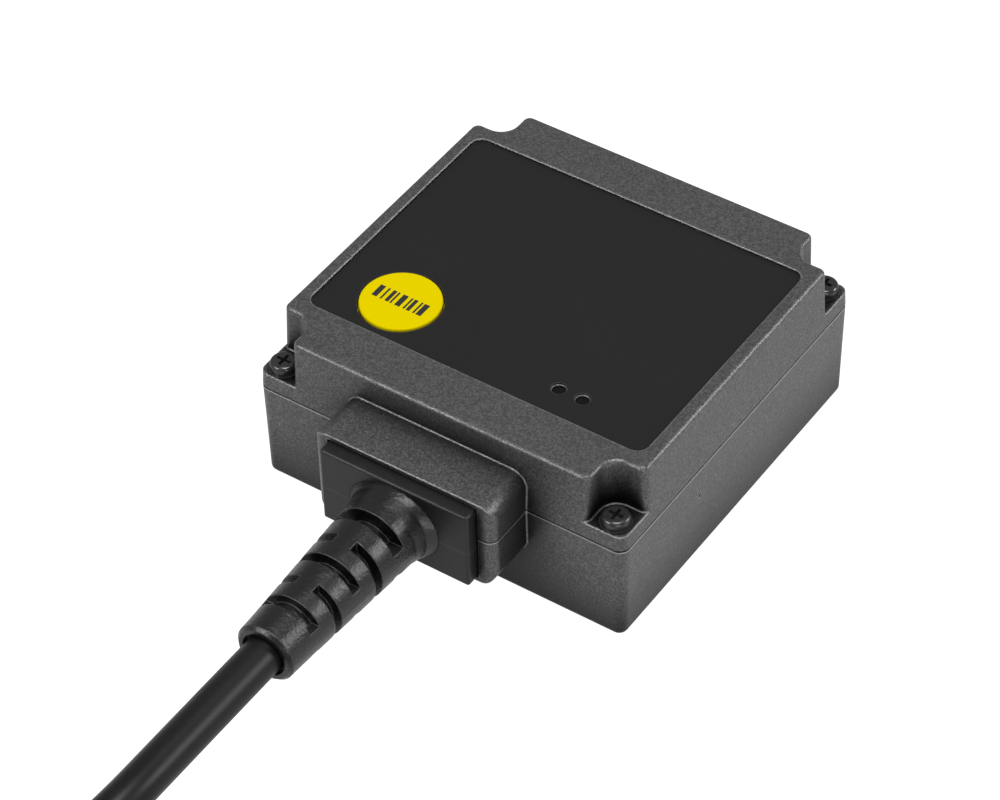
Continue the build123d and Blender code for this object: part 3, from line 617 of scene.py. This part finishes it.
# ---------------------------------------------------------------------------
# Sub-assemblies of CAD nodes
# ---------------------------------------------------------------------------

def dress(piece: bpy.types.Object, finish: Finish) -> None:
    """Gives a piece one finish.

    Args:
        piece: the object to dress.
        finish: the finish that fills its material slots.
    """
    piece.data.materials.clear()
    piece.data.materials.append(finish.material())


@dataclass
class SubAssembly:
    """CAD nodes that belong together. They keep their meshes and places and get their finishes.

    Args:
        nodes: the frame's node objects by name.
    """

    nodes: dict[str, bpy.types.Object]
    finishes: ClassVar[dict[Finish, tuple[str, ...]]] = {}

    def dress(self) -> None:
        """Gives each node of the sub-assembly its finish."""
        for finish, names in self.finishes.items():
            for name in names:
                dress(self.nodes[name], finish)
                log.info("%s: %s", name, finish.name)


class Housing(SubAssembly):
    """The two shells with their seal, film, window, screws and inserts."""

    finishes = {
        HOUSING: ("lower_shell", "upper_shell"),
        OVERLAY_FILM: ("overlay_panel",),
        BLACK_STEEL: ("cover_screws", "screw_seats"),
        BRASS: ("mounting_inserts",),
        SILICONE: ("housing_seal", "window_gasket"),
        DARK_LENS: ("scan_window",),
    }


class Trigger(SubAssembly):
    """The key with its switch, and the indicators beside it."""

    finishes = {
        KEY_YELLOW: ("scan_button",),
        EPOXY: ("switch_plunger", "key_switch"),
        PIPE: ("light_pipes",),
        NYLON: ("indicator_lamps",),
    }


class Boards(SubAssembly):
    """The main and interface boards with their parts, link and screws."""

    finishes = {
        SOLDER_RESIST: ("main_board", "io_board"),
        EPOXY: ("main_board_chips", "beeper", "interface_chip"),
        CERAMIC: ("main_board_capacitors", "power_inductor"),
        NYLON: ("board_link",),
        BRIGHT_STEEL: ("main_board_screws", "io_board_screws"),
    }


class ScanEngine(SubAssembly):
    """The laser, the swinging mirror with its drive, and the receiver."""

    finishes = {
        CAST_METAL: ("engine_frame",),
        BRIGHT_STEEL: ("engine_screws", "laser_diode", "mirror_shaft", "mirror_magnet",
                       "coil_core"),
        BRASS: ("laser_barrel",),
        CLEAR: ("collimator_lens",),
        DARK_LENS: ("receiver_lens",),
        SOLDER_RESIST: ("laser_board", "receiver_board"),
        EPOXY: ("photodiode", "mirror_holder", "receiver_barrel"),
        MIRROR: ("scan_mirror",),
        COPPER: ("drive_coil",),
    }


class CableEnds(SubAssembly):
    """The outlet with its plug and leads inside, and the tie and plug at the far end."""

    finishes = {
        OVERMOULD: ("outlet_block", "far_plug"),
        RELIEF: ("strain_relief",),
        NYLON: ("cable_header", "crimp_plug"),
        LEAD: ("cable_leads",),
        STRAP: ("coil_tie",),
        BRIGHT_STEEL: ("far_shell",),
        EPOXY: ("far_tongue",),
    }


# ---------------------------------------------------------------------------
# Cable
# ---------------------------------------------------------------------------

@dataclass
class Cable:
    """The cable: straight out of the strain relief, down to the floor, wound up, its plug on top.

    Args:
        radius: the jacket's radius.
        length: the real length; not used.
        lead_in: route from the strain relief to the coil.
        lead_out: route from the coil to the far plug.
        centre: the coil's centre on the floor.
        layers: radius and height of each turn, in the order of winding.
        turn_points: control points for each turn.
        first_angle: where the coil starts, in degrees round its centre.
        last_angle: where its last turn ends.
        crossover: the part of a turn in which it moves over to the next one.
        tie_angle: where the tie holds the coil.
        tie_lift: how far the tie lifts the turns.
        tie_hold: degrees either side of the tie that it lifts fully.
        tie_fade: degrees beyond those in which the lift fades.
        climb: angle, radius and height of the points from the coil up to the far plug.
    """

    radius: float = 2.85 * MM
    length: float = 1.41
    lead_in: list[Point] = field(default_factory=lambda: [
        (0.0, -0.0675, 0.0152),
        (0.0, -0.0870, 0.0152),
        (0.0, -0.1030, 0.0151),
        (-0.0058, -0.1170, 0.0098),
        (-0.0066, -0.1315, 0.0032),
    ])
    lead_out: list[Point] = field(default_factory=lambda: [
        (0.0019, -0.1381, 0.0141),
        (0.0109, -0.1498, 0.0149),
        (0.0251, -0.1554, 0.0155),
        (0.0399, -0.1519, 0.0155),
    ])
    centre: tuple[float, float] = (0.031, -0.1275)
    layers: list[tuple[float, float]] = field(default_factory=lambda: [
        (38.0 * MM, 2.9 * MM),
        (32.2 * MM, 2.9 * MM),
        (26.4 * MM, 2.9 * MM),
        (20.6 * MM, 2.9 * MM),
        (23.5 * MM, 8.2 * MM),
        (29.3 * MM, 8.2 * MM),
        (35.1 * MM, 8.2 * MM),
    ])
    turn_points: int = 24
    first_angle: float = 205.0
    last_angle: float = 108.0
    crossover: float = 0.2
    tie_angle: float = 40.0
    tie_lift: float = 0.9 * MM
    tie_hold: float = 14.0
    tie_fade: float = 26.0
    climb: list[Point] = field(default_factory=lambda: [
        (124.0, 34.4 * MM, 10.8 * MM),
        (141.0, 32.8 * MM, 13.4 * MM),
        (158.0, 32.2 * MM, 14.0 * MM),
        (176.0, 31.9 * MM, 14.0 * MM),
    ])

    def turn_point(self, turns: float) -> Point:
        """Returns the coil's control point after some turns from the first angle.

        Args:
            turns: turns wound so far.

        Returns:
            The control point.
        """
        index = min(int(turns), len(self.layers) - 1)
        following = min(index + 1, len(self.layers) - 1)
        part = (turns - index - 1 + self.crossover) / self.crossover
        shift = smooth(part)
        climb = smooth(2 * part)
        radius = self.layers[index][0] * (1 - shift) + self.layers[following][0] * shift
        height = self.layers[index][1] * (1 - climb) + self.layers[following][1] * climb
        angle = math.radians(self.first_angle + 360 * turns)
        off_tie = abs((math.degrees(angle) - self.tie_angle + 180) % 360 - 180)
        height += self.tie_lift * (1 - smooth((off_tie - self.tie_hold) / self.tie_fade))
        radius /= math.cos(math.pi / self.turn_points)
        return self.around(angle, radius, height)

    def around(self, angle: float, radius: float, height: float) -> Point:
        """Returns the point at an angle in radians, radius and height round the coil's centre."""
        return (
            self.centre[0] + radius * math.cos(angle),
            self.centre[1] + radius * math.sin(angle),
            height,
        )

    def route(self) -> list[Point]:
        """Returns the control points of the whole cable, in order."""
        turns = (len(self.layers) - 1) + (self.last_angle - self.first_angle + 360) / 360
        count = round(turns * self.turn_points)
        coil = [self.turn_point(step / self.turn_points) for step in range(count + 1)]
        climb = [self.around(math.radians(angle), radius, height)
                 for angle, radius, height in self.climb]
        return [*self.lead_in, *coil, *climb, *self.lead_out]

    def build(self) -> bpy.types.Object:
        """Returns:
            The cable's curve object.
        """
        curve = bpy.data.curves.new("cable_run", "CURVE")
        curve.dimensions = "3D"
        curve.bevel_depth = self.radius
        curve.bevel_resolution = 8
        curve.use_fill_caps = True
        spline = curve.splines.new("NURBS")
        points = self.route()
        spline.points.add(len(points) - 1)
        for slot, point in zip(spline.points, points):
            slot.co = (*point, 1.0)
        spline.order_u = 3
        spline.use_endpoint_u = True
        spline.resolution_u = 6
        spline.use_smooth = True
        piece = add_object("cable_run", curve)
        curve.materials.append(JACKET.material())
        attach(piece, "housing")
        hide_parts("cable", "cable_tail", "cable_coil")
        log.info("cable: %d control points", len(points))
        return piece


# ---------------------------------------------------------------------------
# Key print
# ---------------------------------------------------------------------------

@dataclass
class KeyPrint:
    """Generic print on the key: a row of bars.

    Args:
        length: the row's length.
        height: the bars' height.
        widths: bar and gap widths in turn, in parts of the row.
        thickness: thickness of the ink.
    """

    length: float = 8.2 * MM
    height: float = 2.4 * MM
    widths: tuple[int, ...] = (3, 2, 1, 2, 2, 1, 1, 2, 3, 2, 1, 1, 2, 2, 1, 1, 3)
    thickness: float = 0.03 * MM

    def build(self) -> bpy.types.Object:
        """Builds the print on top of the key.

        Returns:
            The print's mesh object.
        """
        low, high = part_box("scan_button")
        middle_x = (low[0] + high[0]) / 2
        middle_y = (low[1] + high[1]) / 2
        top = high[2]
        part = self.length / sum(self.widths)
        points: list[Point] = []
        faces: list[tuple[int, int, int, int]] = []
        start = middle_x - self.length / 2
        for index, width in enumerate(self.widths):
            end = start + width * part
            if index % 2 == 0:
                first = len(points)
                for z in (top, top + self.thickness):
                    for x, y in ((start, -1), (end, -1), (end, 1), (start, 1)):
                        points.append((x, middle_y + y * self.height / 2, z))
                # Corners 0 to 3 go round the bottom of the bar, and 4 to 7 round its top.
                faces.append(tuple(first + corner for corner in (3, 2, 1, 0)))
                faces.append(tuple(first + corner for corner in (4, 5, 6, 7)))
                for corner in range(4):
                    following = (corner + 1) % 4
                    ring = (corner, following, 4 + following, 4 + corner)
                    faces.append(tuple(first + place for place in ring))
            start = end
        mesh = bpy.data.meshes.new("key_print")
        mesh.from_pydata(points, [], faces)
        mesh.update()
        piece = add_object("key_print", mesh)
        dress(piece, KEY_PRINT)
        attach(piece, "key")
        return piece


# ---------------------------------------------------------------------------
# Studio
# ---------------------------------------------------------------------------

@dataclass
class StudioCamera:
    """The camera, placed in the model's frame.

    Args:
        place: where the camera stands.
        azimuth: degrees round the object, 0 looking along +Y.
        elevation: degrees above the horizon.
        roll: degrees round the line of sight.
        lens: focal length in millimetres.
        sensor: the sensor's width in millimetres.
    """

    place: Point = (0.21356, -0.31753, 0.37449)
    azimuth: float = 35.1427
    elevation: float = 43.9536
    roll: float = -1.5061
    lens: float = 135.06
    sensor: float = 36.0

    def build(self) -> None:
        """Makes the camera and hands it to the scene."""
        data = bpy.data.cameras.new("studio_camera")
        data.sensor_width = self.sensor
        data.lens = self.lens
        data.clip_start = 0.01
        data.clip_end = 20.0
        camera = add_object("studio_camera", data)
        a, e, r = (math.radians(v) for v in (self.azimuth, self.elevation, self.roll))
        back = towards(a, e)
        right = Vector((math.cos(a), math.sin(a), 0.0))
        up = back.cross(right)
        right_rolled = right * math.cos(r) + up * math.sin(r)
        up_rolled = up * math.cos(r) - right * math.sin(r)
        turn = Matrix((right_rolled, up_rolled, back)).transposed()
        camera.matrix_world = Matrix.Translation(Vector(self.place)) @ turn.to_4x4()
        bpy.context.scene.camera = camera


@dataclass
class SoftLight:
    """A square softbox aimed at a point.

    Args:
        name: the light's name.
        azimuth: degrees round the object, 0 towards -Y.
        elevation: degrees above the horizon.
        distance: how far from the target it hangs.
        size: width and height of its face.
        power: in watts.
    """

    name: str
    azimuth: float
    elevation: float
    distance: float
    size: tuple[float, float]
    power: float

    def build(self, target: Vector) -> None:
        """Hangs the light.

        Args:
            target: the point it faces.
        """
        data = bpy.data.lights.new(self.name, "AREA")
        data.shape = "RECTANGLE"
        data.size, data.size_y = self.size
        data.energy = self.power
        lamp = add_object(self.name, data)
        way = towards(math.radians(self.azimuth), math.radians(self.elevation))
        lamp.location = target + way * self.distance
        lamp.rotation_mode = "QUATERNION"
        lamp.rotation_quaternion = way.to_track_quat("Z", "Y")


@dataclass
class Studio:
    """Plain pale floor, even surround and soft lights.

    Args:
        floor_size: width of the floor.
        floor_drop: how far it lies under the object, so that their faces don't coincide.
        paper: the floor's own colour.
        surround: brightness of the surround.
        floor_light: how much the floor lights the object from below; it is shown as plain white.
        lights: the softboxes.
    """

    floor_size: float = 6.0
    floor_drop: float = 0.0001
    paper: Colour = (0.2, 0.2, 0.2)
    surround: float = 0.35
    floor_light: float = 0.50
    lights: list[SoftLight] = field(default_factory=lambda: [
        SoftLight("side_softbox", 128.0, 24.0, 0.9, (0.35, 0.35), 3.4),
        SoftLight("front_softbox", -31.0, 36.0, 0.9, (0.35, 0.35), 3.6),
        SoftLight("top_softbox", 60.0, 80.0, 0.9, (0.4, 0.4), 4.8),
        SoftLight("low_softbox", 52.0, 8.0, 0.8, (0.2, 0.12), 1.0),
    ])

    def floor(self) -> None:
        """Lays the floor: plain white to the camera, and a weaker light for the object."""
        half = self.floor_size / 2
        mesh = bpy.data.meshes.new("studio_floor")
        corners = [(-half, -half, 0), (half, -half, 0), (half, half, 0), (-half, half, 0)]
        mesh.from_pydata(corners, [], [(0, 1, 2, 3)])
        piece = add_object("studio_floor", mesh)
        piece.location.z = -self.floor_drop
        paper = bpy.data.materials.new("pale_paper")
        paper.use_nodes = True
        shader = paper.node_tree.nodes["Principled BSDF"]
        shader.inputs["Base Color"].default_value = (*self.paper, 1.0)
        shader.inputs["Roughness"].default_value = 0.9
        shader.inputs["Specular IOR Level"].default_value = 0.0
        shader.inputs["Emission Color"].default_value = (1.0, 1.0, 1.0, 1.0)
        nodes = NodeTree(paper.node_tree)
        seen = nodes.add("ShaderNodeLightPath").outputs["Is Camera Ray"]
        extra = nodes.maths("MULTIPLY", seen, 1.0 - self.floor_light)
        strength = nodes.maths("ADD", extra, self.floor_light)
        nodes.link(strength, shader.inputs["Emission Strength"])
        mesh.materials.append(paper)

    def world(self) -> None:
        """Sets the even surround."""
        world = bpy.data.worlds.new("studio_surround")
        world.use_nodes = True
        sky = world.node_tree.nodes["Background"]
        sky.inputs["Color"].default_value = (1.0, 1.0, 1.0, 1.0)
        sky.inputs["Strength"].default_value = self.surround
        bpy.context.scene.world = world

    def build(self, target: Vector) -> None:
        """Builds the whole studio.

        Args:
            target: the point that the lights face.
        """
        self.floor()
        self.world()
        for light in self.lights:
            light.build(target)
        bpy.context.scene.view_settings.view_transform = "Standard"


def main() -> None:
    """Builds the scene: frame, camera, cable, finishes, print and studio."""
    logging.basicConfig(level=logging.INFO, format="%(name)s %(message)s")
    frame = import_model()
    StudioCamera().build()
    Cable().build()
    for part in (Housing, Trigger, Boards, ScanEngine, CableEnds):
        part(frame["nodes"]).dress()
    KeyPrint().build()
    low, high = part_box("upper_shell")
    Studio().build((Vector(low) + Vector(high)) / 2)


if __name__ == "__main__":
    main()
